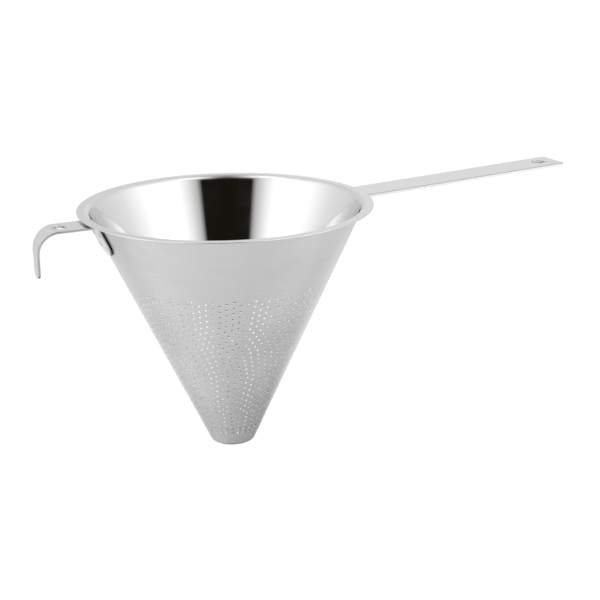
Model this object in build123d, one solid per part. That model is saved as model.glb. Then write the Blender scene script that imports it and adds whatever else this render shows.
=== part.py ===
from build123d import *
import math
import os

# A conical strainer of sheet steel with a flat strap handle and a strap hook, spot-welded on.
# Millimetres. The origin is the centre of the rim's top plane, on the cone's axis.
# +Z points up the axis, +X runs along the handle, and the hook is on -X.

# Cone: one drawn sheet with a flat rim and a closed tip
rim_radius = 95.0
rim_width = 7.1  # rim's edge to the cone's inside, carried up to the rim's top plane
tip_radius = 13.4  # inside of the cone, carried down to the outside of the tip
cone_depth = 162.4  # rim's top plane to the outside of the tip
sheet_thickness = 0.8
rim_edge_share = 0.45  # of the sheet's thickness, for the rounding of the rim's edge
rim_bend_radius = 3.0  # under the rim
tip_bend_radius = 3.0  # inside of the tip

# Perforation: round holes in rings, each ring turned a little from the one above
hole_diameter = 1.5
holes_in_ring = 32
first_ring_depth = 45.1
last_ring_height = 10.9  # above the outside of the tip
first_hole_angle = 3.6
ring_step = 4  # one ring in four is cut, and 1 cuts them all
# For each zone, from the top: its rings, the turn from ring to ring as a share of one hole
# spacing, and the drop from ring to ring as a share of the top zone's
zone_rings = (15, 11, 12, 7, 7, 6)
zone_turn_shares = (0.343, 0.395, 0.453, 0.534, 0.532, 1.0)
zone_drop_shares = (1.0, 1.115, 1.28, 1.5, 1.575, 2.38)

# Straps: flat bars with a root under the rim and a tongue on the cone
root_bend_radius = 3.0  # inside of the bend from arm to tongue
root_reach = 2.0  # how far the root's level part runs out past the rim

# Handle
handle_width = 25.0
handle_thickness = 2.0
handle_length = 160.0  # rim's edge to the free end
handle_clearance = 1.3  # between the rim's underside and the handle's arm
handle_rise_angle = 2.0
handle_corner_radius = 1.5
handle_tongue_depth = 30.0  # rim's top plane to the end of the tongue
hang_hole_diameter = 9.0
hang_hole_from_end = 13.5

# Hook
hook_width = 21.4
hook_thickness = 1.5
hook_length = 30.6  # rim's edge to the outer face of the leg
hook_clearance = 1.0  # between the rim's underside and the hook's arm
hook_bend_radius = 12.5  # inside of the bend from arm to leg
hook_depth = 32.0  # rim's top plane to the leg's lowest point
hook_tongue_depth = 23.6
hook_taper_depth = 19.3  # where the taper ends on the leg
leg_width = 10.4
leg_tip_share = 0.45  # of the leg's width, for the rounding of its tip
hook_hole_diameter = 8.0
hook_hole_from_leg = 16.1  # hole's centre to the outer face of the leg

# Spot welds: slugs of fused metal that join each tongue to the sheet
weld_diameter = 4.5
weld_dimple = 0.3  # how far a weld lies below the tongue's face
weld_row_shares = (0.33, 0.72)  # of the tongue's length down the slope
weld_side_share = 0.31  # of the strap's width, each side of its middle
weld_sheet_share = 0.5  # of the sheet's thickness that a weld goes into

cut_overrun = 1.0

mouth_radius = rim_radius - rim_width
tilt = math.atan((mouth_radius - tip_radius) / cone_depth)
handle_drop = sheet_thickness + handle_clearance  # rim's top plane to the top of the handle's root
hook_drop = sheet_thickness + hook_clearance  # the same for the hook
handle_reach = rim_radius + handle_length
hook_reach = rim_radius + hook_length


def outer_radius(depth, offset=0.0):
    """Radius at a depth on the cone's outside, or on a surface that lies offset outside it."""
    inside = mouth_radius - depth * math.tan(tilt)
    return inside + (sheet_thickness + offset) / math.cos(tilt)


def outside_plane(depth, angle):
    """A plane that touches the cone's outside, with its z axis pointing out of the sheet."""
    turn = math.radians(angle)
    radius = outer_radius(depth)
    outward = Vector(math.cos(turn), math.sin(turn), -math.tan(tilt))
    across = Vector(-math.sin(turn), math.cos(turn), 0)
    origin = Vector(radius * math.cos(turn), radius * math.sin(turn), -depth)
    return Plane(origin=origin, x_dir=across, z_dir=outward)


def ring_places():
    """Depth and starting angle of every ring of holes, from the top down."""
    turns = []
    drops = []
    for rings, turn_share, drop_share in zip(zone_rings, zone_turn_shares, zone_drop_shares):
        turns += [turn_share] * rings
        drops += [drop_share] * rings
    ring_drop = (cone_depth - last_ring_height - first_ring_depth) / sum(drops[:-1])
    depth = first_ring_depth
    angle = first_hole_angle
    places = []
    for turn_share, drop_share in zip(turns, drops):
        places.append((depth, angle))
        depth += ring_drop * drop_share
        angle -= turn_share * 360 / holes_in_ring
    return places


def punches():
    """One short cylinder for each hole, square to the sheet."""
    reach = sheet_thickness + cut_overrun
    tools = []
    for depth, angle in ring_places()[::ring_step]:
        for number in range(holes_in_ring):
            place = outside_plane(depth, angle + number * 360 / holes_in_ring)
            tools.append(place * Cylinder(hole_diameter / 2, 2 * reach))
    return tools


def cone_sheet():
    """The drawn sheet before it is perforated: rim, cone and closed tip."""
    inner_tip = cone_depth - sheet_thickness
    underside = FilletPolyline(
        (0, -cone_depth),
        (outer_radius(cone_depth), -cone_depth),
        (outer_radius(sheet_thickness), -sheet_thickness),
        (rim_radius, -sheet_thickness),
        radius=[tip_bend_radius + sheet_thickness, rim_bend_radius],
    )
    topside = FilletPolyline(
        (0, -inner_tip),
        (outer_radius(inner_tip, -sheet_thickness), -inner_tip),
        (outer_radius(0, -sheet_thickness), 0),
        (rim_radius, 0),
        radius=[tip_bend_radius, rim_bend_radius + sheet_thickness],
    )
    rim_edge = Line((rim_radius, -sheet_thickness), (rim_radius, 0))
    axis = Line((0, -inner_tip), (0, -cone_depth))
    section = make_face(Plane.XZ * Curve([underside, rim_edge, topside, axis]))
    sheet = revolve(section, Axis.Z)
    rim_edges = sheet.edges().filter_by(GeomType.CIRCLE).group_by(SortBy.RADIUS)[-1]
    return fillet(rim_edges, rim_edge_share * sheet_thickness)


def tongue_angle(depth, side):
    """Angle round the axis at which a place on the cone lies side away from the XZ plane."""
    return math.degrees(math.asin(side / outer_radius(depth)))


def weld_places(tongue_depth, width):
    """Depth and angle of a tongue's four spot welds."""
    side = weld_side_share * width
    places = []
    for share in weld_row_shares:
        depth = share * tongue_depth
        for offset in (-side, side):
            places.append((depth, tongue_angle(depth, offset)))
    return places


def weld_cores(tongue_depth, width, turn, reach):
    """A round core at each spot weld, from inside the sheet to a reach outside it."""
    foot = weld_sheet_share * sheet_thickness
    base = (Align.CENTER, Align.CENTER, Align.MIN)
    core = Pos(0, 0, -foot) * Cylinder(weld_diameter / 2, foot + reach, align=base)
    cores = []
    for depth, angle in weld_places(tongue_depth, width):
        cores.append(outside_plane(depth, angle + turn) * core)
    return cores


def handle_welds():
    """The handle's spot welds, which end a little below the face of its tongue."""
    reach = handle_thickness - weld_dimple
    return weld_cores(handle_tongue_depth, handle_width, 0, reach)


def hook_welds():
    """The hook's spot welds, which end a little below the face of its tongue."""
    reach = hook_thickness - weld_dimple
    return weld_cores(hook_tongue_depth, hook_width, 180, reach)


def handle_pockets():
    """The places of the handle's welds, open through its tongue and into the sheet."""
    reach = handle_thickness + cut_overrun
    return weld_cores(handle_tongue_depth, handle_width, 0, reach)


def hook_pockets():
    """The places of the hook's welds, open through its tongue and into the sheet."""
    reach = hook_thickness + cut_overrun
    return weld_cores(hook_tongue_depth, hook_width, 180, reach)


def strap_root(top_drop, tongue_depth, width, thickness):
    """The level root of a strap on +X and its tongue, which is curved to lie on the cone."""
    join = rim_radius + root_reach
    seat_side = FilletPolyline(
        (join + cut_overrun, -top_drop),
        (outer_radius(top_drop), -top_drop),
        (outer_radius(tongue_depth), -tongue_depth),
        radius=root_bend_radius + thickness,
    )
    face_drop = top_drop + thickness
    face_depth = tongue_depth + thickness * math.sin(tilt)
    face_side = FilletPolyline(
        (join + cut_overrun, -face_drop),
        (outer_radius(face_drop, thickness), -face_drop),
        (outer_radius(face_depth, thickness), -face_depth),
        radius=root_bend_radius,
    )
    outer_end = Line(seat_side @ 0, face_side @ 0)
    tongue_end = Line(seat_side @ 1, face_side @ 1)
    section = make_face(Plane.XZ * Curve([seat_side, tongue_end, face_side, outer_end]))
    spread = 2 * math.degrees(math.asin(width / outer_radius(tongue_depth)))
    root = Rot(0, 0, -spread / 2) * revolve(section, Axis.Z, spread)
    length = tongue_depth / math.cos(tilt)
    foot_plane = outside_plane(tongue_depth, 0)
    end_radius = width / 2
    outline = Pos(0, end_radius) * Circle(end_radius)
    outline += Pos(0, end_radius + length) * Rectangle(width, 2 * length)
    blank = extrude(foot_plane * outline, width, both=True)
    keep = Pos(join / 2, 0, 0) * Box(join, 2 * width, 2 * cone_depth)
    return root & blank & keep


def handle_strap():
    """The handle: root, tongue and a straight arm that rises a little to its free end."""
    join = rim_radius + root_reach
    slope = math.tan(math.radians(handle_rise_angle))
    end_rise = (handle_reach - join) * slope
    side = Polyline(
        (join, -handle_drop),
        (handle_reach, end_rise - handle_drop),
        (handle_reach, end_rise - handle_drop - handle_thickness),
        (join, -handle_drop - handle_thickness),
        close=True,
    )
    arm = extrude(make_face(Plane.XZ * side), handle_width / 2, both=True)
    corners = arm.edges().filter_by(Axis.Z).group_by(Axis.X)[-1]
    arm = fillet(corners, handle_corner_radius)
    hole = Pos(handle_reach - hang_hole_from_end, 0, 0) * Rot(0, -handle_rise_angle, 0)
    arm -= hole * Cylinder(hang_hole_diameter / 2, 2 * handle_width)
    root = strap_root(handle_drop, handle_tongue_depth, handle_width, handle_thickness)
    return (root + arm).cut(*handle_pockets())


def hook_strap():
    """The hook: root, tongue, a level arm, and a tapered leg that hangs outside a pan."""
    join = rim_radius + root_reach
    top = FilletPolyline(
        (join, -hook_drop),
        (hook_reach, -hook_drop),
        (hook_reach, -hook_depth),
        radius=hook_bend_radius + hook_thickness,
    )
    inside = FilletPolyline(
        (join, -hook_drop - hook_thickness),
        (hook_reach - hook_thickness, -hook_drop - hook_thickness),
        (hook_reach - hook_thickness, -hook_depth),
        radius=hook_bend_radius,
    )
    ends = [Line(top @ 0, inside @ 0), Line(top @ 1, inside @ 1)]
    arm = extrude(make_face(Plane.XZ * Curve([top, inside, *ends])), hook_width / 2, both=True)
    arm &= hook_outline()
    tip_corners = arm.edges().filter_by(Axis.X).group_by(Axis.Z)[0]
    arm = fillet(tip_corners, leg_tip_share * leg_width)
    hole = Pos(hook_reach - hook_hole_from_leg, 0, -hook_drop)
    arm -= hole * Cylinder(hook_hole_diameter / 2, 2 * hook_width)
    root = strap_root(hook_drop, hook_tongue_depth, hook_width, hook_thickness)
    return (Rot(0, 0, 180) * (root + arm)).cut(*hook_pockets())


def hook_outline():
    """The taper of the hook's blank, cut square to the middle of its bend."""
    bend_x = hook_reach - hook_thickness - hook_bend_radius
    bend_z = -hook_drop - hook_thickness - hook_bend_radius
    middle_radius = hook_bend_radius + hook_thickness / 2
    slant = math.sin(math.radians(45))
    taper_start = -middle_radius * slant
    taper_end = (middle_radius + hook_taper_depth + bend_z) * slant
    reach = hook_reach
    corners = [
        (-reach, hook_width / 2),
        (taper_start, hook_width / 2),
        (taper_end, leg_width / 2),
        (reach, leg_width / 2),
        (reach, -leg_width / 2),
        (taper_end, -leg_width / 2),
        (taper_start, -hook_width / 2),
        (-reach, -hook_width / 2),
    ]
    outline = make_face(Polyline(*corners, close=True))
    seen = Plane(origin=(bend_x, 0, bend_z), x_dir=(1, 0, -1), z_dir=(1, 0, 1))
    return extrude(seen * outline, reach, both=True)


def perforated_cone():
    """The cone with its holes and with the pockets that the spot welds fill."""
    return cone_sheet().cut(*punches(), *handle_pockets(), *hook_pockets())


os.makedirs("parts", exist_ok=True)
export_step(perforated_cone(), "parts/strainer_cone.step")
export_step(handle_strap(), "parts/handle.step")
export_step(hook_strap(), "parts/pan_hook.step")
export_step(Compound(children=handle_welds()), "parts/handle_spot_welds.step")
export_step(Compound(children=hook_welds()), "parts/hook_spot_welds.step")
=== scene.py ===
import math
from collections import namedtuple

import bpy
from mathutils import Matrix, Vector


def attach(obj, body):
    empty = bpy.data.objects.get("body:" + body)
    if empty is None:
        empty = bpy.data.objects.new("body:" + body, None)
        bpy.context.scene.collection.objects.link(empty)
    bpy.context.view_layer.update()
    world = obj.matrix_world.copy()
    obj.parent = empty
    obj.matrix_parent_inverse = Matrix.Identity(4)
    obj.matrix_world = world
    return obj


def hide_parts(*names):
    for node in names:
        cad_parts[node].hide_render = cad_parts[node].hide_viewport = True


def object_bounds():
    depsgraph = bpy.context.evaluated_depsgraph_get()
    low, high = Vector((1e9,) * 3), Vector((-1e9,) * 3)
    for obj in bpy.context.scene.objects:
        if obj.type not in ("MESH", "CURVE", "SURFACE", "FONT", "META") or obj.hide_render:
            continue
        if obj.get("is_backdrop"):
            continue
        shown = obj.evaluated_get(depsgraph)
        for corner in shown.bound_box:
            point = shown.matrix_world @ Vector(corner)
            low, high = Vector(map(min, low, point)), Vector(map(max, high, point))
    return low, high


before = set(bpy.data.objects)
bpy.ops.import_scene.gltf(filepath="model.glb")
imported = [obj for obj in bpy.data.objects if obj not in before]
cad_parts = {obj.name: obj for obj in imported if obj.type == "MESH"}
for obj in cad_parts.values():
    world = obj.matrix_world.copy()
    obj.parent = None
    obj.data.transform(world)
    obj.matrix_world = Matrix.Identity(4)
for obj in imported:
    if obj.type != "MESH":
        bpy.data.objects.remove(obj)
cad_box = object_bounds()
MM = 0.001


# Camera: where the photograph was taken from, round the cone's axis

VIEW_TURN = math.radians(25.13)  # of the handle, away from straight across the picture
VIEW_DROP = math.radians(17.73)  # how steeply the camera looks down
VIEW_ROLL = math.radians(0.84)
VIEW_DISTANCE = 0.85
VIEW_SIDE = 0.04684  # of the picture's middle, to the right of the rim's centre
VIEW_LOW = -0.0623  # of the picture's middle, above the rim's centre
LENS = 79.408
SENSOR_WIDTH = 36


def set_camera():
    across = Vector((math.cos(VIEW_TURN), -math.sin(VIEW_TURN), 0))
    away = Vector((math.sin(VIEW_TURN), math.cos(VIEW_TURN), 0))
    up = Vector((0, 0, 1))
    forward = away * math.cos(VIEW_DROP) - up * math.sin(VIEW_DROP)
    level_up = away * math.sin(VIEW_DROP) + up * math.cos(VIEW_DROP)
    place = across * VIEW_SIDE + level_up * VIEW_LOW - forward * VIEW_DISTANCE
    right = across * math.cos(VIEW_ROLL) - level_up * math.sin(VIEW_ROLL)
    top = across * math.sin(VIEW_ROLL) + level_up * math.cos(VIEW_ROLL)
    data = bpy.data.cameras.new("camera")
    data.lens = LENS
    data.sensor_width = SENSOR_WIDTH
    camera = bpy.data.objects.new("camera", data)
    turn = Matrix((right, top, -forward)).transposed()
    camera.matrix_world = Matrix.Translation(place) @ turn.to_4x4()
    bpy.context.scene.collection.objects.link(camera)
    bpy.context.scene.camera = camera


# Node trees

NOISE_DETAIL = 3.0
NOISE_LOW, NOISE_HIGH = 0.3, 0.7  # nearly all of a noise texture's values lie between these
MIX_SHARE, MIX_FIRST, MIX_SECOND, MIX_RESULT = 0, 6, 7, 2  # a Mix node's sockets for colours


class Nodes:
    """The node tree of a material or of the world, with short calls to add and join nodes."""

    def __init__(self, tree):
        self.tree = tree
        tree.nodes.clear()

    def add(self, kind, **settings):
        node = self.tree.nodes.new(kind)
        for name, value in settings.items():
            setattr(node, name, value)
        return node

    def join(self, output, socket):
        self.tree.links.new(output, socket)

    def put(self, socket, value):
        """Give a socket a fixed value or another node's output."""
        if isinstance(value, bpy.types.NodeSocket):
            self.join(value, socket)
        elif value is not None:
            socket.default_value = value

    def number(self, operation, a, b=None, c=None, clamp=False):
        node = self.add("ShaderNodeMath", operation=operation, use_clamp=clamp)
        for socket, value in zip(node.inputs, (a, b, c)):
            self.put(socket, value)
        return node.outputs[0]

    def vector(self, operation, a, b=None):
        node = self.add("ShaderNodeVectorMath", operation=operation)
        for socket, value in zip(node.inputs, (a, b)):
            self.put(socket, value)
        return node.outputs[0]

    def dot(self, a, b):
        node = self.vector("DOT_PRODUCT", a, b).node
        return node.outputs["Value"]

    def scale(self, color, factor):
        scaled = self.vector("SCALE", color)
        self.put(scaled.node.inputs["Scale"], factor)
        return scaled

    def flat_length(self, vector):
        """The length of a vector without its height."""
        node = self.vector("LENGTH", self.vector("MULTIPLY", vector, (1, 1, 0))).node
        return node.outputs["Value"]

    def height(self, vector):
        node = self.add("ShaderNodeSeparateXYZ")
        self.join(vector, node.inputs[0])
        return node.outputs["Z"]

    def ramp(self, value, stops):
        node = self.add("ShaderNodeValToRGB")
        self.join(value, node.inputs[0])
        while len(node.color_ramp.elements) < len(stops):
            node.color_ramp.elements.new(0.5)
        for element, (place, color) in zip(node.color_ramp.elements, stops):
            element.position = place
            element.color = color
        return node.outputs[0]

    def blend(self, share, first, second):
        """The first colour at a share of 0, and the second at 1."""
        node = self.add("ShaderNodeMix", data_type="RGBA")
        self.put(node.inputs[MIX_SHARE], share)
        self.put(node.inputs[MIX_FIRST], first)
        self.put(node.inputs[MIX_SECOND], second)
        return node.outputs[MIX_RESULT]

    def noise(self, vector, scale, roughness):
        node = self.add("ShaderNodeTexNoise")
        self.join(vector, node.inputs["Vector"])
        node.inputs["Scale"].default_value = scale
        node.inputs["Detail"].default_value = NOISE_DETAIL
        node.inputs["Roughness"].default_value = roughness
        return node.outputs[0]

    def spread(self, noise, low, high):
        """A noise stretched to run from low to high."""
        node = self.add("ShaderNodeMapRange")
        self.join(noise, node.inputs[0])
        node.inputs["From Min"].default_value = NOISE_LOW
        node.inputs["From Max"].default_value = NOISE_HIGH
        node.inputs["To Min"].default_value = low
        node.inputs["To Max"].default_value = high
        return node.outputs[0]

    def smooth(self, value, low, high):
        """A smooth step, from 0 at low to 1 at high."""
        node = self.add("ShaderNodeMapRange", interpolation_type="SMOOTHSTEP")
        self.join(value, node.inputs[0])
        node.inputs["From Min"].default_value = low
        node.inputs["From Max"].default_value = high
        return node.outputs[0]


# Materials

ALONG_SCALE = 9  # of the scratches on a strap
ACROSS_SCALE = 2800
LINE_ROUGHNESS = 0.6  # of the noise that draws the scratches
LINE_DEPTH = 0.0001
PATCH_SCALE = 28.0
PATCH_ROUGHNESS = 0.5  # of the noise that draws the broad patches
PATCH_RANGE = 0.03  # how far a patch changes the roughness of the steel
BEND_LOW, BEND_HIGH = -0.0036, -0.001  # heights between which the steel turns rougher at the rim


def around_axis(nodes, turn_scale, height_scale):
    """Coordinates that change slowly round the Z axis and fast up it, for spun scratches."""
    place = nodes.add("ShaderNodeTexCoord").outputs["Object"]
    flat = nodes.vector("MULTIPLY", place, (1, 1, 0))
    turn = nodes.vector("NORMALIZE", flat)
    spun = nodes.vector("MULTIPLY", turn, (turn_scale, turn_scale, 0))
    height = nodes.vector("MULTIPLY", place, (0, 0, height_scale))
    return nodes.vector("ADD", spun, height)


def spun_lines(nodes):
    return around_axis(nodes, turn_scale=5, height_scale=1100)


def fine_spun_lines(nodes):
    return around_axis(nodes, turn_scale=1.2, height_scale=3400)


def strap_lines(nodes):
    """Coordinates that change fast across a strap, whose width lies along Y."""
    place = nodes.add("ShaderNodeTexCoord").outputs["Object"]
    return nodes.vector("MULTIPLY", place, (ALONG_SCALE, ACROSS_SCALE, ALONG_SCALE))


def metal(name, tint, shade, rough, lines, bump=0.0, aniso=0.0, aniso_turn=0.0, bend_rough=0.0):
    """Steel whose colour and roughness vary with fine scratches and with broad patches."""
    material = bpy.data.materials.new(name)
    material.use_nodes = True
    nodes = Nodes(material.node_tree)
    output = nodes.add("ShaderNodeOutputMaterial")
    shader = nodes.add("ShaderNodeBsdfPrincipled")
    nodes.join(shader.outputs[0], output.inputs[0])
    shader.inputs["Metallic"].default_value = 1.0
    shader.inputs["Anisotropic"].default_value = aniso
    shader.inputs["Anisotropic Rotation"].default_value = aniso_turn
    place = nodes.add("ShaderNodeTexCoord").outputs["Object"]
    fine = nodes.noise(lines(nodes), 1.0, LINE_ROUGHNESS)
    broad = nodes.noise(place, PATCH_SCALE, PATCH_ROUGHNESS)
    fine_shade = nodes.spread(fine, -shade, shade)
    broad_shade = nodes.spread(broad, -shade, shade)
    level = nodes.number("ADD", nodes.number("ADD", fine_shade, broad_shade), 1.0)
    nodes.join(nodes.scale(tint, level), shader.inputs["Base Color"])
    patch = nodes.spread(broad, -PATCH_RANGE, PATCH_RANGE)
    if bend_rough:
        near_rim = nodes.smooth(nodes.height(place), BEND_LOW, BEND_HIGH)
        patch = nodes.number("MULTIPLY_ADD", near_rim, bend_rough, patch)
    roughness = nodes.number("ADD", nodes.spread(fine, *rough), patch, clamp=True)
    nodes.join(roughness, shader.inputs["Roughness"])
    if aniso:
        tangent = nodes.add("ShaderNodeTangent", direction_type="RADIAL", axis="Z")
        nodes.join(tangent.outputs[0], shader.inputs["Tangent"])
    if bump:
        relief = nodes.add("ShaderNodeBump")
        relief.inputs["Strength"].default_value = bump
        relief.inputs["Distance"].default_value = LINE_DEPTH
        nodes.join(fine, relief.inputs["Height"])
        nodes.join(relief.outputs[0], shader.inputs["Normal"])
    return material


OUTSIDE = metal(
    "steel_spun_satin",
    tint=(0.622, 0.622, 0.622),
    shade=0.045,
    rough=(0.36, 0.44),
    lines=spun_lines,
    bump=0.12,
    aniso=0.8,
    aniso_turn=0.25,
)
INSIDE = metal(
    "steel_spun_bright",
    tint=(0.656, 0.656, 0.653),
    shade=0.01,
    rough=(0.05, 0.09),
    lines=fine_spun_lines,
    bump=0.015,
    aniso=0.7,
    aniso_turn=0.25,
    bend_rough=0.3,
)
FLANGE = metal(
    "steel_spun_rim",
    tint=(0.612, 0.612, 0.61),
    shade=0.02,
    rough=(0.17, 0.23),
    lines=fine_spun_lines,
    bump=0.03,
)
# The cone's hole walls, in steel much lighter than the sheet's own: painted light that brightens the
# holes
HOLE_WALL_PAINTED_LIGHT = metal(
    "steel_hole_wall_painted_light",
    tint=(0.92, 0.92, 0.915),
    shade=0.04,
    rough=(0.5, 0.6),
    lines=spun_lines,
)
STRAP = metal(
    "steel_strap",
    tint=(0.643, 0.643, 0.643),
    shade=0.02,
    rough=(0.2, 0.3),
    lines=strap_lines,
    bump=0.05,
)
# Darker steel as painted shade: on the seat-side rounding of the straps' edges, on the hook's flat side
# faces, and on the upper part of the straps' hole walls
PAINTED_SHADE_STEEL = metal(
    "steel_painted_shade_edge",
    tint=(0.4, 0.4, 0.4),
    shade=0.04,
    rough=(0.3, 0.4),
    lines=strap_lines,
    bump=0.05,
)
WELD = metal(
    "steel_weld",
    tint=(0.38, 0.38, 0.375),
    shade=0.06,
    rough=(0.2, 0.3),
    lines=spun_lines,
    bump=0.1,
)


# Meshes, all drawn in millimetres

class Shell:
    """Collects vertices and faces, with a normal for each corner of each face."""

    def __init__(self):
        self.points = []
        self.faces = []
        self.normals = []
        self.slots = []

    def point(self, x, y, z):
        self.points.append((x, y, z))
        return len(self.points) - 1

    def face(self, corners, normals, slot):
        """Add a face, turned to look the way its normals do."""
        a, b, c = (Vector(self.points[i]) for i in corners[:3])
        middle = sum((Vector(n) for n in normals), Vector())
        if (b - a).cross(c - a).dot(middle) < 0:
            corners, normals = corners[::-1], normals[::-1]
        self.faces.append(corners)
        self.normals.extend(normals)
        self.slots.append(slot)

    def mesh(self, name):
        mesh = bpy.data.meshes.new(name)
        mesh.from_pydata([(x * MM, y * MM, z * MM) for x, y, z in self.points], [], self.faces)
        mesh.polygons.foreach_set("use_smooth", [True] * len(self.faces))
        mesh.polygons.foreach_set("material_index", self.slots)
        mesh.normals_split_custom_set(self.normals)
        mesh.update()
        return mesh


def stitches(outer, inner):
    """Triangles between two loops that both go once round one centre.

    A loop is a list in order of angle, and each of its items begins with its angle.
    """

    def ahead(loop, k):
        return loop[k % len(loop)][0] + 2 * math.pi * (k // len(loop))

    triangles = []
    i, j = 0, 0
    while i < len(outer) or j < len(inner):
        corners = [outer[i % len(outer)], inner[j % len(inner)]]
        inner_done = j >= len(inner)
        if i < len(outer) and (inner_done or ahead(outer, i + 1) < ahead(inner, j + 1)):
            i += 1
            corners.append(outer[i % len(outer)])
        else:
            j += 1
            corners.append(inner[j % len(inner)])
        triangles.append(corners)
    return triangles


def show(name, mesh, materials):
    piece = bpy.data.objects.new(name, mesh)
    for material in materials:
        piece.data.materials.append(material)
    bpy.context.scene.collection.objects.link(piece)
    return piece


# The cone: the drawn sheet with every hole of its perforation

RIM = 95.0
MOUTH = 87.9  # inside of the cone, carried up to the rim's top plane
TIP = 13.4  # inside of the cone, carried down to the outside of the tip
DEPTH = 162.4
SHEET = 0.8
EDGE = 0.36  # rounding of the rim's edge
BEND = 3.0  # outside of the sheet, under the rim
TIP_BEND = 3.0  # inside of the sheet
TILT = math.atan((MOUTH - TIP) / DEPTH)
COS, SIN, TAN = math.cos(TILT), math.sin(TILT), math.tan(TILT)
COLUMNS = 256
COLUMN = 2 * math.pi / COLUMNS
BEND_STEPS = 12
TIP_STEPS = 10
EDGE_STEPS = 5
PLAIN_SHARES = (0.3, 0.6)  # of the way down to the perforation, for the plain wall's own rings
OUTSIDE_SLOT, INSIDE_SLOT, WALL_SLOT, FLANGE_SLOT = 0, 1, 2, 3

HOLE = 0.75
HOLES = 32  # in each ring
HOLE_SPACING = 2 * math.pi / HOLES
HOLE_SIDES = 16
FIRST_DEPTH = 45.1
LAST_HEIGHT = 10.9  # above the outside of the tip
FIRST_TURN = 3.6
# For each zone, from the top: its rings, the turn from ring to ring as a share of one hole
# spacing, and the drop from ring to ring as a share of the top zone's
ZONES = (
    (15, 0.343, 1.0),
    (11, 0.395, 1.115),
    (12, 0.453, 1.28),
    (7, 0.534, 1.5),
    (7, 0.532, 1.575),
    (6, 1.0, 2.38),
)
DROP_SHARES = sum(rings * drop_share for rings, _, drop_share in ZONES) - ZONES[-1][2]
DROP = (DEPTH - LAST_HEIGHT - FIRST_DEPTH) / DROP_SHARES


def outer_radius(depth):
    return MOUTH - depth * TAN + SHEET / COS


def hole_rings():
    """Depth and starting angle of every ring of holes, from the top down."""
    depth = FIRST_DEPTH
    turn = FIRST_TURN
    rings = []
    for count, turn_share, drop_share in ZONES:
        for _ in range(count):
            rings.append((depth, math.radians(turn)))
            depth += DROP * drop_share
            turn -= turn_share * 360 / HOLES
    return rings


def band_edges(rings):
    """The depths that part the rings of holes, each halfway between two rings."""
    edges = [rings[0][0] - DROP / 2]
    edges += [(upper[0] + lower[0]) / 2 for upper, lower in zip(rings, rings[1:])]
    edges.append(rings[-1][0] + (rings[-1][0] - rings[-2][0]) / 2)
    return edges


def arc(center, radius, start, end, steps, hollow):
    """Profile points on an arc, as radius, height and the surface's normal in the profile."""
    points = []
    for step in range(steps + 1):
        turn = math.radians(start + (end - start) * step / steps)
        normal = (math.cos(turn), math.sin(turn))
        side = -radius if hollow else radius
        points.append((center[0] + side * normal[0], center[1] + side * normal[1], *normal))
    return points


def ring_points(shell, radius, height):
    points = []
    for k in range(COLUMNS):
        turn = k * COLUMN
        points.append(shell.point(radius * math.cos(turn), radius * math.sin(turn), height))
    return points


def wall_ring(shell, depth, inward):
    """A ring of vertices on the conical wall, so far inward from its outside."""
    return ring_points(shell, outer_radius(depth) - inward * COS, -depth + inward * SIN)


def turned(k, normal):
    """A profile normal turned round the axis to a column."""
    turn = k * COLUMN
    return (normal[0] * math.cos(turn), normal[0] * math.sin(turn), normal[1])


def lathe(shell, rings, normals, slot):
    """Quads between rings of vertices that follow each other down a profile."""
    for i in range(len(rings) - 1):
        for k in range(COLUMNS):
            j = (k + 1) % COLUMNS
            corners = [rings[i][k], rings[i][j], rings[i + 1][j], rings[i + 1][k]]
            upper = [turned(k, normals[i]), turned(j, normals[i])]
            lower = [turned(j, normals[i + 1]), turned(k, normals[i + 1])]
            shell.face(corners, upper + lower, slot)


def cap(shell, height, ring, normal, slot):
    middle = shell.point(0, 0, height)
    for k in range(COLUMNS):
        j = (k + 1) % COLUMNS
        shell.face([middle, ring[k], ring[j]], [(0, 0, normal)] * 3, slot)


def side_angle(side):
    """The angle of one corner of a hole, round the hole's own axis."""
    return 2 * math.pi * side / HOLE_SIDES - math.pi


def hole_rims(shell, depth, turn, inward):
    """The vertices of each hole's edge in one ring of holes, on one side of the sheet."""
    rims = []
    radius = outer_radius(depth) - inward * COS
    for j in range(HOLES):
        middle = turn + j * HOLE_SPACING
        rim = []
        for side in range(HOLE_SIDES):
            run = HOLE * math.sin(side_angle(side))
            here = radius + run * SIN
            angle = middle + HOLE * math.cos(side_angle(side)) / radius
            height = -depth + inward * SIN + run * COS
            rim.append(shell.point(here * math.cos(angle), here * math.sin(angle), height))
        rims.append(rim)
    return rims


def pierced_band(shell, upper, lower, rims, ring, inward, slot):
    """One ring of cells between two rings of vertices. Each cell has a round hole in its middle."""
    depth, turn = ring
    level = -depth + inward * SIN
    radius = outer_radius(depth) - inward * COS
    facing = -1 if inward else 1
    cell = COLUMNS // HOLES
    start = round(turn / COLUMN - cell / 2)
    for j, rim in enumerate(rims):
        middle = turn + j * HOLE_SPACING
        outline = []
        for edge in (upper, lower):
            for k in range(start + j * cell, start + (j + 1) * cell + 1):
                index = edge[k % COLUMNS]
                across = (k * COLUMN - middle) * radius
                up = (shell.points[index][2] - level) / COS
                outline.append((math.atan2(up, across), k * COLUMN, index))
        hole = []
        for side, index in enumerate(rim):
            angle = side_angle(side)
            hole.append((angle, middle + HOLE * math.cos(angle) / radius, index))
        for corners in stitches(sorted(outline), hole):
            normals = []
            for _, place, _ in corners:
                outward = (COS * math.cos(place), COS * math.sin(place), -SIN)
                normals.append(tuple(facing * part for part in outward))
            shell.face([index for _, _, index in corners], normals, slot)


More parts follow.
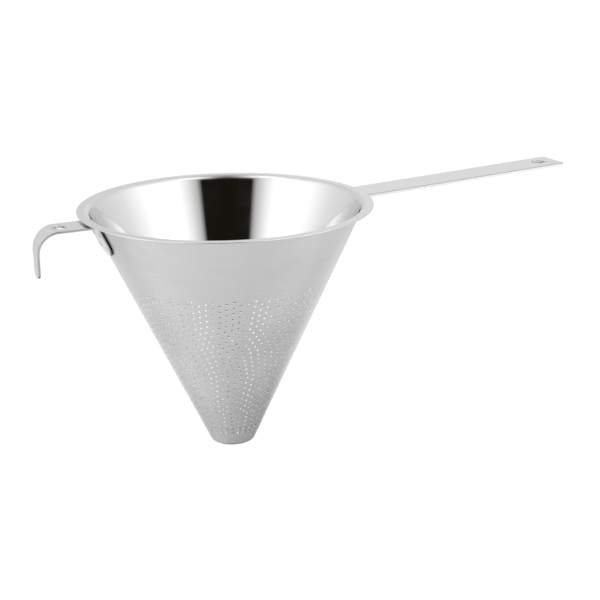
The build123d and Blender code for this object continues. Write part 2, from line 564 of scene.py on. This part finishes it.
def hole_walls(shell, outer, inner, turn):
    """The walls of one ring of holes, between the edges on the sheet's two sides."""
    for j in range(HOLES):
        middle = turn + j * HOLE_SPACING
        across = Vector((-math.sin(middle), math.cos(middle), 0))
        slope = Vector((SIN * math.cos(middle), SIN * math.sin(middle), COS))
        ways = []
        for side in range(HOLE_SIDES + 1):
            angle = side_angle(side)
            ways.append(tuple(-(across * math.cos(angle) + slope * math.sin(angle))))
        for side in range(HOLE_SIDES):
            after = (side + 1) % HOLE_SIDES
            corners = [outer[j][side], outer[j][after], inner[j][after], inner[j][side]]
            normals = [ways[side], ways[side + 1], ways[side + 1], ways[side]]
            shell.face(corners, normals, WALL_SLOT)


def skin(shell, rings, inward, bend, tip, slot):
    """One side of the sheet, from the bend under the rim to the middle of the tip."""
    way = (-COS, SIN) if inward else (COS, -SIN)
    edges = band_edges(rings)
    levels = [wall_ring(shell, depth, inward) for depth in edges]
    rims = [hole_rims(shell, depth, turn, inward) for depth, turn in rings]
    for upper, lower, band_rims, ring in zip(levels, levels[1:], rims, rings):
        pierced_band(shell, upper, lower, band_rims, ring, inward, slot)
    bend_rings = [ring_points(shell, r, z) for r, z, _, _ in bend[::-1]]
    plain = [wall_ring(shell, edges[0] * share, inward) for share in PLAIN_SHARES]
    ways = [point[2:] for point in bend[::-1]] + [way] * (len(plain) + 1)
    lathe(shell, bend_rings + plain + [levels[0]], ways, slot)
    tip_rings = [ring_points(shell, r, z) for r, z, _, _ in tip]
    lathe(shell, [levels[-1]] + tip_rings, [way] + [point[2:] for point in tip], slot)
    cap(shell, tip[-1][1], tip_rings[-1], 1 if inward else -1, slot)
    return bend_rings[0], rims


def make_cone():
    shell = Shell()
    rings = hole_rings()
    slope = -math.degrees(TILT)
    bend_center = (MOUTH + (BEND + SHEET) * (1 - SIN) / COS, -BEND - SHEET)
    tip_height = -DEPTH + TIP_BEND + SHEET
    tip_center = (MOUTH + tip_height * TAN - TIP_BEND / COS, tip_height)
    outside_bend = arc(bend_center, BEND, slope, -90, BEND_STEPS, True)
    outside_tip = arc(tip_center, TIP_BEND + SHEET, slope, -90, TIP_STEPS, False)
    inside_bend = arc(bend_center, BEND + SHEET, 180 + slope, 90, BEND_STEPS, False)
    inside_tip = arc(tip_center, TIP_BEND, 180 + slope, 90, TIP_STEPS, True)
    outer_rim, outer_holes = skin(shell, rings, 0, outside_bend, outside_tip, OUTSIDE_SLOT)
    inner_rim, inner_holes = skin(shell, rings, SHEET, inside_bend, inside_tip, INSIDE_SLOT)
    rim = arc((RIM - EDGE, EDGE - SHEET), EDGE, -90, 0, EDGE_STEPS, False)
    rim += arc((RIM - EDGE, -EDGE), EDGE, 0, 90, EDGE_STEPS, False)
    rim_rings = [ring_points(shell, r, z) for r, z, _, _ in rim]
    ways = [(0, -1)] + [point[2:] for point in rim] + [(0, 1)]
    lathe(shell, [outer_rim] + rim_rings + [inner_rim], ways, FLANGE_SLOT)
    for ring, outer, inner in zip(rings, outer_holes, inner_holes):
        hole_walls(shell, outer, inner, ring[1])
    cone = show("cone_sheet", shell.mesh("cone_sheet"), (OUTSIDE, INSIDE, HOLE_WALL_PAINTED_LIGHT, FLANGE))
    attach(cone, "root")
    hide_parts("strainer_cone")


# The straps: flat bars with rounded edges, bent as the CAD straps are

ROOT_BEND = 3.0

HANDLE = 25.0
HANDLE_GAUGE = 2.0
HANDLE_CORNER = 1.5
HANDLE_DROP = 2.1  # rim's top plane to the top of the handle's root
HANDLE_TONGUE = 30.0
HANDLE_REACH = 255.0
HANDLE_RISE = math.radians(2.0)
HANDLE_JOIN = 97.0  # how far out the root's level part runs
RISE_BEND = 30.0  # where the handle begins to rise
HANG_HOLE = 4.5
HANG_HOLE_FROM_END = 13.5

HOOK = 21.4
HOOK_GAUGE = 1.5
HOOK_BEND = 12.5
HOOK_DROP = 1.8
HOOK_TONGUE = 23.6
HOOK_REACH = 125.6
HOOK_DEPTH = 32.0
HOOK_TAPER_DEPTH = 19.3  # where the taper ends on the leg
HOOK_HOLE = 4.0
HOOK_HOLE_FROM_LEG = 16.1
LEG = 10.4
LEG_TIP = 4.68

ROUND = 0.35  # of a bar's long edges
HOLE_ROUND = 0.15  # of the edges of a bar's hole
# Below this share of a punched hole's wall, counted from the seat side, the steel is plain; above it,
# towards the face, the wall is painted darker as shade
WALL_SHADE_LINE = 0.6  # of the height of a punched hole's wall
TORN = 0.35  # how much higher the rounding under the handle's edge reaches than ROUND
UNDERCUT = 0.25  # how far a tongue's rim is ground away on the side that faces the cone
UNDERCUT_RUN = 2.2  # how much further in its rounding reaches, for its height
UNDERCUT_FADE = 4.0  # the length over which it fades out
UNDERCUT_STOP = 2.0  # how far short of the tongue's own length it has faded out

ROUND_STEPS = 5
QUARTER = [math.radians(90 * k / ROUND_STEPS) for k in range(ROUND_STEPS + 1)]
TONGUE_STEPS = 24
CORNER_STEPS = 6
LEG_TIP_STEPS = 12
HOLE_STEPS = 48
HOLE_MARGIN = 1  # a hole's edge to the quads that leave it out
BEND_STEP = math.radians(5)
RUN_STEP = 6
STATION_GAP = 0.2  # the least length between a bar's ends and its stations
SLOPE_REACH = 0.05
STRAP_SLOT, PAINTED_SHADE_SLOT = 0, 1

Stretch = namedtuple("Stretch", "length start way turn")


class Path:
    """The middle line of a bent bar in the XZ plane: straight runs with arcs between them."""

    def __init__(self, points, radii):
        self.stretches = []
        here = Vector(points[0])
        for before, corner, after, radius in zip(points, points[1:], points[2:], radii):
            corner = Vector(corner)
            start = (corner - Vector(before)).normalized()
            end = (Vector(after) - corner).normalized()
            turn = math.atan2(start.x * end.y - start.y * end.x, start.dot(end))
            back = radius * math.tan(abs(turn) / 2)
            self.line(here, corner - start * back)
            self.stretches.append(Stretch(abs(turn) * radius, corner - start * back, start, turn))
            here = corner + end * back
        self.line(here, Vector(points[-1]))
        self.length = sum(stretch.length for stretch in self.stretches)

    def line(self, start, end):
        way = end - start
        self.stretches.append(Stretch(way.length, start, way.normalized(), 0.0))

    def at(self, s):
        """The place and the direction of the middle line at a length along it."""
        for stretch in self.stretches:
            if s <= stretch.length or stretch is self.stretches[-1]:
                break
            s -= stretch.length
        start, way = stretch.start, stretch.way
        if not stretch.turn:
            return start + way * s, way
        radius = stretch.length / abs(stretch.turn)
        normal = Vector((-way.y, way.x)) * math.copysign(1, stretch.turn)
        angle = s / radius
        center = start + normal * radius
        place = center - normal * radius * math.cos(angle) + way * radius * math.sin(angle)
        return place, way * math.cos(angle) + normal * math.sin(angle)

    def stations(self, first, last):
        """Lengths at which the bar is divided: often in its bends, seldom on its runs."""
        marks = []
        done = 0.0
        for length, _, _, turn in self.stretches:
            count = max(1, round(abs(turn) / BEND_STEP if turn else length / RUN_STEP))
            marks += [done + length * k / count for k in range(count)]
            done += length
        return [s for s in marks if first + STATION_GAP < s < last - STATION_GAP]


def rounded_end(radius, flat, steps):
    """Half the outline of a bar's end: length from the end, half width, and the outline's normal."""
    points = []
    for k in range(steps + 1):
        turn = math.radians(90 * k / steps)
        run = radius * (1 - math.cos(turn))
        half_width = flat + radius * math.sin(turn)
        points.append((run, half_width, -math.cos(turn), math.sin(turn)))
    return points


def half_outline(path, foot, tip, width_at):
    """Half the outline of a bar's blank, from the tongue's end to the free end."""
    points = list(foot)
    for s in path.stations(foot[-1][0], path.length - tip[-1][0]):
        rise = width_at(s + SLOPE_REACH) - width_at(s - SLOPE_REACH)
        normal = Vector((-rise / (2 * SLOPE_REACH), 1)).normalized()
        points.append((s, width_at(s), normal.x, normal.y))
    points += [(path.length - s, w, -ns, nw) for s, w, ns, nw in tip[::-1]]
    return points


def edge_profile(gauge, undercut, torn):
    """Rounding of a bar's edge from its face to its seat side: how far in, height, and the normal."""
    rows = []
    for turn in QUARTER:
        inset = ROUND * (1 - math.sin(turn))
        height = gauge - ROUND * (1 - math.cos(turn))
        rows.append((inset, height, math.sin(turn), math.cos(turn)))
    reach = ROUND + UNDERCUT_RUN * undercut
    rise = ROUND + undercut + torn
    for turn in QUARTER:
        inset = reach - reach * math.cos(turn)
        rows.append((inset, rise * (1 - math.sin(turn)), math.cos(turn), -math.sin(turn)))
    return rows


class Bar:
    """A bar of steel bent along a path. Its blank is drawn in length, width and height.

    The length starts at the tongue's end, and the height at the side that the tongue is seated on.
    A corner is a vertex, its normal, and its length, width and height.
    """

    def __init__(self, path, gauge, side, tongue, torn):
        self.shell = Shell()
        self.path = path
        self.gauge = gauge
        self.side = side
        self.undercut_end = tongue / COS - UNDERCUT_STOP
        self.torn = torn

    def place(self, s, w, h):
        middle, way = self.path.at(s)
        over = Vector((way.y, -way.x)) * (h - self.gauge / 2)
        return Vector(((middle.x + over.x) * self.side, w * self.side, middle.y + over.y))

    def normal(self, s, along, across, over):
        way = self.path.at(s)[1]
        up = Vector((way.y, -way.x))
        x = (way.x * along + up.x * over) * self.side
        z = way.y * along + up.y * over
        return Vector((x, across * self.side, z)).normalized()

    def corner(self, s, w, h, along, across, over):
        vertex = self.shell.point(*self.place(s, w, h))
        return (vertex, self.normal(s, along, across, over), (s, w, h))

    def edge_corner(self, number, s, w, ns, nw):
        """The corner beside a point of the outline in one row of the bar's rounded edge."""
        share = min(1.0, max(0.0, (self.undercut_end - s) / UNDERCUT_FADE))
        profile = edge_profile(self.gauge, UNDERCUT * share, self.torn)
        inset, height, out, over = profile[number]
        return self.corner(s - ns * inset, w - nw * inset, height, ns * out, nw * out, over)

    def hole_ring(self, hole, grown, level, out, over):
        """Corners in a circle round the hole, whose radius is grown, facing inward and over."""
        center, radius = hole
        ring = []
        for step in range(HOLE_STEPS):
            t = 2 * math.pi * step / HOLE_STEPS
            s = center + (radius + grown) * math.cos(t)
            w = (radius + grown) * math.sin(t)
            ring.append(self.corner(s, w, level, -math.cos(t) * out, -math.sin(t) * out, over))
        return ring

    def face(self, corners, slot):
        """Add a face, without the corners that share a vertex with one before them."""
        normals = {}
        for vertex, normal, _ in corners:
            normals.setdefault(vertex, normal)
        if len(normals) > 2:
            self.shell.face(list(normals), list(normals.values()), slot)

    def band(self, upper, lower, slot):
        """Quads between two closed loops of corners."""
        for k in range(len(upper)):
            j = (k + 1) % len(upper)
            self.face([upper[k], upper[j], lower[j], lower[k]], slot)

    def build(self, outline, hole, name):
        """The bar's mesh. The outline starts on the middle line, so its two halves share that corner."""
        rows = []
        for number in range(2 * len(QUARTER)):
            left = [self.edge_corner(number, *point) for point in outline]
            right = [self.edge_corner(number, s, -w, ns, -nw) for s, w, ns, nw in outline[:0:-1]]
            rows.append(left + right + left[:1])
        # Bands from this row on get the darker steel as painted shade: the rounding on the seat side,
        # and on a bar without the torn lip its flat side face as well
        first_painted_shade = len(QUARTER) if self.torn else len(QUARTER) - 1
        for number, (upper, lower) in enumerate(zip(rows, rows[1:])):
            self.band(upper, lower, PAINTED_SHADE_SLOT if number >= first_painted_shade else STRAP_SLOT)
        face_rim = self.sheet(rows[0], len(outline), hole, self.gauge, 1)
        seat_rim = self.sheet(rows[-1], len(outline), hole, 0.0, -1)
        self.wall(hole, face_rim, seat_rim)
        return self.shell.mesh(name)

    def sheet(self, row, count, hole, height, over):
        """One broad side of the bar: quads from edge to edge, and a patch round the hole."""
        level_row = [(vertex, self.normal(p[0], 0, 0, over), p) for vertex, _, p in row]
        left = level_row[:count]
        right = level_row[count:][::-1]
        center, radius = hole
        pierced = []
        for k in range(count - 1):
            starts_before = left[k][2][0] < center + radius + HOLE_MARGIN
            ends_after = left[k + 1][2][0] > center - radius - HOLE_MARGIN
            if starts_before and ends_after:
                pierced.append(k)
            else:
                self.face([left[k], left[k + 1], right[k + 1], right[k]], STRAP_SLOT)
        patch = slice(pierced[0], pierced[-1] + 2)
        rings = []
        for turn in QUARTER:
            grown = HOLE_ROUND * (1 - math.sin(turn))
            level = height - over * HOLE_ROUND * (1 - math.cos(turn))
            rings.append(self.hole_ring(hole, grown, level, math.sin(turn), over * math.cos(turn)))

        def around_hole(corners):
            angles = [math.atan2(w, s - center) for _, _, (s, w, _) in corners]
            return sorted(zip(angles, corners), key=lambda item: item[0])

        border = around_hole(left[patch] + right[patch][::-1])
        for triangle in stitches(border, around_hole(rings[0])):
            self.face([corner for _, corner in triangle], STRAP_SLOT)
        for outer, inner in zip(rings, rings[1:]):
            self.band(outer, inner, STRAP_SLOT)
        return rings[-1]

    def wall(self, hole, face_rim, seat_rim):
        """The wall of a punched hole: darker steel near the bar's face as painted shade, the strap's own
        steel below it.
        """
        middle = self.hole_ring(hole, 0.0, WALL_SHADE_LINE * self.gauge, 1, 0)
        self.band(face_rim, middle, PAINTED_SHADE_SLOT)
        self.band(middle, seat_rim, STRAP_SLOT)


def mid_corner(drop, gauge):
    """Where the middle of a strap's arm would meet the middle of its tongue with no bend."""
    level = -drop - gauge / 2
    return (MOUTH + level * TAN + (SHEET + gauge / 2) / COS, level)


def tongue_end(depth, gauge):
    return (outer_radius(depth) + COS * gauge / 2, -depth - SIN * gauge / 2)


def make_handle():
    level = -HANDLE_DROP - HANDLE_GAUGE / 2
    rise = math.tan(HANDLE_RISE) * (HANDLE_REACH - HANDLE_JOIN)
    # The free end leans, so that its lower edge reaches furthest
    end = HANDLE_REACH - HANDLE_GAUGE / 2 * math.sin(HANDLE_RISE)
    points = [tongue_end(HANDLE_TONGUE, HANDLE_GAUGE), mid_corner(HANDLE_DROP, HANDLE_GAUGE)]
    points += [(HANDLE_JOIN, level), (end, level + rise)]
    path = Path(points, (ROOT_BEND + HANDLE_GAUGE / 2, RISE_BEND))
    foot = rounded_end(HANDLE / 2, 0.0, TONGUE_STEPS)
    tip = rounded_end(HANDLE_CORNER, HANDLE / 2 - HANDLE_CORNER, CORNER_STEPS)
    outline = half_outline(path, foot, tip, lambda s: HANDLE / 2)
    hole = (path.length - HANG_HOLE_FROM_END, HANG_HOLE)
    bar = Bar(path, HANDLE_GAUGE, 1, HANDLE_TONGUE, TORN)
    strap = show("handle_strap", bar.build(outline, hole, "handle_strap"), (STRAP, PAINTED_SHADE_STEEL))
    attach(strap, "root")
    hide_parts("handle")
    return bar


def make_hook():
    level = -HOOK_DROP - HOOK_GAUGE / 2
    reach = HOOK_REACH - HOOK_GAUGE / 2
    bend = HOOK_BEND + HOOK_GAUGE / 2
    points = [tongue_end(HOOK_TONGUE, HOOK_GAUGE), mid_corner(HOOK_DROP, HOOK_GAUGE)]
    points += [(reach, level), (reach, -HOOK_DEPTH)]
    path = Path(points, (ROOT_BEND + HOOK_GAUGE / 2, bend))
    center = Vector((reach - bend, level - bend))
    slant = math.sqrt(0.5)
    start = -bend * slant
    stop = (bend + HOOK_TAPER_DEPTH + center.y) * slant

    def width_at(s):
        """Half the hook's width, which narrows on a line square to the middle of its bend."""
        place = path.at(s)[0] - center
        run = ((place.x - place.y) * slant - start) / (stop - start)
        if place.x < 0 and place.y > 0:
            run = 0.0
        return HOOK / 2 + (LEG / 2 - HOOK / 2) * min(1.0, max(0.0, run))

    foot = rounded_end(HOOK / 2, 0.0, TONGUE_STEPS)
    tip = rounded_end(LEG_TIP, LEG / 2 - LEG_TIP, LEG_TIP_STEPS)
    outline = half_outline(path, foot, tip, width_at)
    tongue, root, arm = path.stretches[:3]
    arm_start = tongue.length + root.length
    hole = (arm_start + HOOK_REACH - HOOK_HOLE_FROM_LEG - arm.start.x, HOOK_HOLE)
    bar = Bar(path, HOOK_GAUGE, -1, HOOK_TONGUE, 0.0)
    strap = show("hook_strap", bar.build(outline, hole, "hook_strap"), (STRAP, PAINTED_SHADE_STEEL))
    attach(strap, "root")
    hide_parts("pan_hook")
    return bar


# The weld marks: four shallow craters on each tongue, where the welding tips pressed it

WELD_ROW_SHARES = (0.33, 0.72)  # of the tongue's length down the slope
WELD_SIDE_SHARE = 0.31  # of the strap's width, each side of its middle
WELD_STEPS = 32
# Rings of a mark from its rim inwards: radius, and height over the tongue's face
WELD_RINGS = (
    (2.3, -0.06),
    (2.15, 0.03),
    (1.9, 0.09),
    (1.6, 0.1),
    (1.25, 0.05),
    (0.8, 0.03),
    (0.35, 0.05),
)
WELD_MIDDLE = 0.06  # height


def weld_mark(shell, bar, s, w):
    rings = []
    for radius, height in WELD_RINGS:
        ring = []
        for k in range(WELD_STEPS):
            t = 2 * math.pi * k / WELD_STEPS
            along = s + radius * math.cos(t)
            across = w + radius * math.sin(t)
            ring.append(shell.point(*bar.place(along, across, bar.gauge + height)))
        rings.append(ring)
    middle = shell.point(*bar.place(s, w, bar.gauge + WELD_MIDDLE))
    up = bar.normal(s, 0, 0, 1)
    for outer, inner in zip(rings, rings[1:]):
        for k in range(WELD_STEPS):
            j = (k + 1) % WELD_STEPS
            shell.face([outer[k], outer[j], inner[j], inner[k]], [up] * 4, 0)
    for k in range(WELD_STEPS):
        shell.face([middle, rings[-1][k], rings[-1][(k + 1) % WELD_STEPS]], [up] * 3, 0)


def make_welds(name, node, bar, width, depth):
    shell = Shell()
    for share in WELD_ROW_SHARES:
        s = (1 - share) * depth / COS
        for w in (-WELD_SIDE_SHARE * width, WELD_SIDE_SHARE * width):
            weld_mark(shell, bar, s, w)
    mesh = shell.mesh(name)
    # The craters are shaded by their own form, not by the flat face's normals
    mesh.attributes.remove(mesh.attributes["custom_normal"])
    marks = show(name, mesh, (WELD,))
    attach(marks, "root")
    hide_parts(node)


# Surroundings: a pale studio, whose tones are set by what the steel reflects in the photograph

ACROSS = (math.cos(VIEW_TURN), -math.sin(VIEW_TURN), 0)  # to the photograph's right
TOWARDS = (-math.sin(VIEW_TURN), -math.cos(VIEW_TURN), 0)  # from the object to the camera


def grey(tone):
    return (tone, tone, tone, 1)


WHITE = grey(1)
DARK = (0.012, 0.010, 0.007, 1)
# Tones of the studio's walls: degrees round from the camera, the same on both sides, and brightness
WALLS = (
    (0, DARK),
    (25, DARK),
    (30, grey(0.7)),
    (40, grey(1.25)),
    (52, grey(1.7)),
    (70, grey(2.1)),
    (88, grey(1.5)),
    (110, grey(1.12)),
    (145, grey(0.9)),
    (180, grey(1.0)),
)
WALLS_SHIFT = math.radians(1.5)  # of all the tones, round to the right
# The same for the floor, near the object and far from it: painted light and shade in the floor's glow,
# which only reflections see
NEAR_FLOOR = (
    (0, grey(1.32)),
    (60, grey(1.2)),
    (90, grey(1.08)),
    (112, grey(0.88)),
    (135, grey(0.92)),
    (155, grey(1.3)),
    (180, grey(1.3)),
)
FAR_FLOOR = (
    (0, grey(1.0)),
    (50, grey(1.0)),
    (58, grey(1.6)),
    (80, grey(1.5)),
    (100, grey(0.95)),
    (140, grey(0.85)),
)

# A direction is judged by its parts across, towards the camera and up. Between each two limits
# here, one tone passes into the next.
CEILING = 0.95
CEILING_EDGE = (math.sin(math.radians(39)), math.sin(math.radians(52)))  # up
ASIDE = (0.1, 0.22)  # across: nearer the middle there are no lamps, and no ceiling in front
BEHIND = (-0.1, 0.1)  # away from the camera
LEFT_DIMMING = 0.1  # in a band of the wall behind the object, to the left
LEFT_OUTER = (-0.4, -0.22)  # across
LEFT_INNER = (-0.12, -0.02)  # across
LEFT_FRONT = (-0.8, -0.5)  # towards the camera
ZENITH = 0.1
ZENITH_EDGE = (0.2, 0.42)  # level part
HORIZON = (-0.1, 0.0)  # up
# Lamps overhead on both sides: degrees round from the camera and up, half width, and brightness
LAMPS = ((60, 69, 18, 3.0), (113, 46, 12, 1.6))
LAMP_CORE = 3  # how many times wider a lamp is than its even middle

FLOOR_SIZE = 12
FLOOR_HEIGHT = -0.35
FLOOR_TINT = 0.8
FLOOR_GLOW = 1.06
GLOW_SHARE = 0.85
FAR_EDGE = (0.7, 0.9)  # distance from the axis
# The middle of the object's shadow, painted into the floor's glow behind the object and a little to the
# right
SHADE_CENTER = tuple(0.05 * a - 0.1 * b for a, b in zip(ACROSS, TOWARDS))
SHADE = 0.1
SHADE_EDGE = (0.1, 0.34)  # distance from its middle


def tones_around(nodes, place, tones):
    """The tone in the direction of a vector from the object."""
    side = nodes.dot(place, ACROSS)
    front = nodes.dot(place, TOWARDS)
    turn = nodes.number("SUBTRACT", nodes.number("ARCTAN2", side, front), WALLS_SHIFT)
    share = nodes.number("DIVIDE", nodes.number("ABSOLUTE", turn), math.pi)
    return nodes.ramp(share, [(angle / 180, color) for angle, color in tones])


def lamp_direction(turn, rise):
    """The direction of a lamp, from its degrees round from the camera and up."""
    turn = math.radians(turn)
    rise = math.radians(rise)
    level = Vector(TOWARDS) * math.cos(turn) * math.cos(rise) + Vector((0, 0, math.sin(rise)))
    return tuple(Vector(ACROSS) * math.sin(turn) * math.cos(rise) + level)


def set_world():
    world = bpy.data.worlds.new("studio")
    bpy.context.scene.world = world
    world.use_nodes = True
    nodes = Nodes(world.node_tree)
    output = nodes.add("ShaderNodeOutputWorld")
    background = nodes.add("ShaderNodeBackground")
    nodes.join(background.outputs[0], output.inputs[0])
    way = nodes.add("ShaderNodeTexCoord").outputs["Generated"]
    side = nodes.dot(way, ACROSS)
    front = nodes.dot(way, TOWARDS)
    height = nodes.height(way)
    aside = nodes.smooth(nodes.number("ABSOLUTE", side), *ASIDE)
    behind = nodes.smooth(nodes.number("MULTIPLY", front, -1.0), *BEHIND)
    ceiling = nodes.smooth(height, *CEILING_EDGE)
    ceiling = nodes.number("MULTIPLY", ceiling, nodes.number("MAXIMUM", aside, behind))
    color = nodes.blend(ceiling, tones_around(nodes, way, WALLS), grey(CEILING))
    # Minus one inside the band, and nothing outside it
    band = nodes.number(
        "SUBTRACT",
        nodes.smooth(side, *LEFT_INNER),
        nodes.smooth(side, *LEFT_OUTER),
    )
    light = nodes.number("MULTIPLY_ADD", band, LEFT_DIMMING, 1.0)
    light = nodes.number("MAXIMUM", light, nodes.smooth(front, *LEFT_FRONT))
    color = nodes.scale(color, light)
    below_zenith = nodes.smooth(nodes.flat_length(way), *ZENITH_EDGE)
    lit = nodes.number("MULTIPLY", below_zenith, nodes.smooth(height, *HORIZON))
    color = nodes.blend(lit, grey(ZENITH), color)
    for turn, rise, half_width, tone in LAMPS:
        edge = math.cos(math.radians(half_width))
        core = math.cos(math.radians(half_width / LAMP_CORE))
        for lamp in (lamp_direction(-turn, rise), lamp_direction(turn, rise)):
            share = nodes.smooth(nodes.dot(way, lamp), edge, core)
            color = nodes.blend(nodes.number("MULTIPLY", share, aside), color, grey(tone))
    ray = nodes.add("ShaderNodeLightPath")
    color = nodes.blend(ray.outputs["Is Camera Ray"], color, WHITE)
    nodes.join(color, background.inputs["Color"])
    background.inputs["Strength"].default_value = 1.0


def set_floor():
    bpy.ops.mesh.primitive_plane_add(size=FLOOR_SIZE, location=(0, 0, FLOOR_HEIGHT))
    floor = bpy.context.object
    floor.name = "floor"
    material = bpy.data.materials.new("floor")
    material.use_nodes = True
    nodes = Nodes(material.node_tree)
    output = nodes.add("ShaderNodeOutputMaterial")
    ray = nodes.add("ShaderNodeLightPath")
    place = nodes.add("ShaderNodeNewGeometry").outputs["Position"]
    far = nodes.smooth(nodes.flat_length(place), *FAR_EDGE)
    # The object's painted shadow on the floor
    from_shade = nodes.flat_length(nodes.vector("SUBTRACT", place, SHADE_CENTER))
    unshaded = nodes.smooth(from_shade, *SHADE_EDGE)
    tone = nodes.blend(unshaded, grey(SHADE), tones_around(nodes, place, NEAR_FLOOR))
    tone = nodes.blend(far, tone, tones_around(nodes, place, FAR_FLOOR))
    # Only reflections see the floor's painted light and shade; the camera sees the floor white
    tone = nodes.blend(ray.outputs["Is Glossy Ray"], WHITE, tone)
    diffuse = nodes.add("ShaderNodeBsdfDiffuse")
    diffuse.inputs["Color"].default_value = grey(FLOOR_TINT)
    glow = nodes.add("ShaderNodeEmission")
    nodes.join(tone, glow.inputs["Color"])
    seen = nodes.number("MAXIMUM", ray.outputs["Is Camera Ray"], ray.outputs["Is Glossy Ray"])
    seen = nodes.number("MAXIMUM", seen, ray.outputs["Is Transmission Ray"])
    nodes.join(nodes.number("MULTIPLY", seen, FLOOR_GLOW), glow.inputs["Strength"])
    mix = nodes.add("ShaderNodeMixShader")
    nodes.join(nodes.number("MULTIPLY", seen, GLOW_SHARE), mix.inputs[0])
    nodes.join(diffuse.outputs[0], mix.inputs[1])
    nodes.join(glow.outputs[0], mix.inputs[2])
    nodes.join(mix.outputs[0], output.inputs[0])
    floor.data.materials.append(material)
    floor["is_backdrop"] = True


def set_view():
    bpy.context.scene.view_settings.view_transform = "Standard"


def corners(box):
    return [[float(v) for v in corner] for corner in box]


set_view()
set_camera()
set_world()
set_floor()
make_cone()
make_welds("handle_weld_marks", "handle_spot_welds", make_handle(), HANDLE, HANDLE_TONGUE)
make_welds("hook_weld_marks", "hook_spot_welds", make_hook(), HOOK, HOOK_TONGUE)

{"cad": corners(cad_box), "scene": corners(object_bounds())}
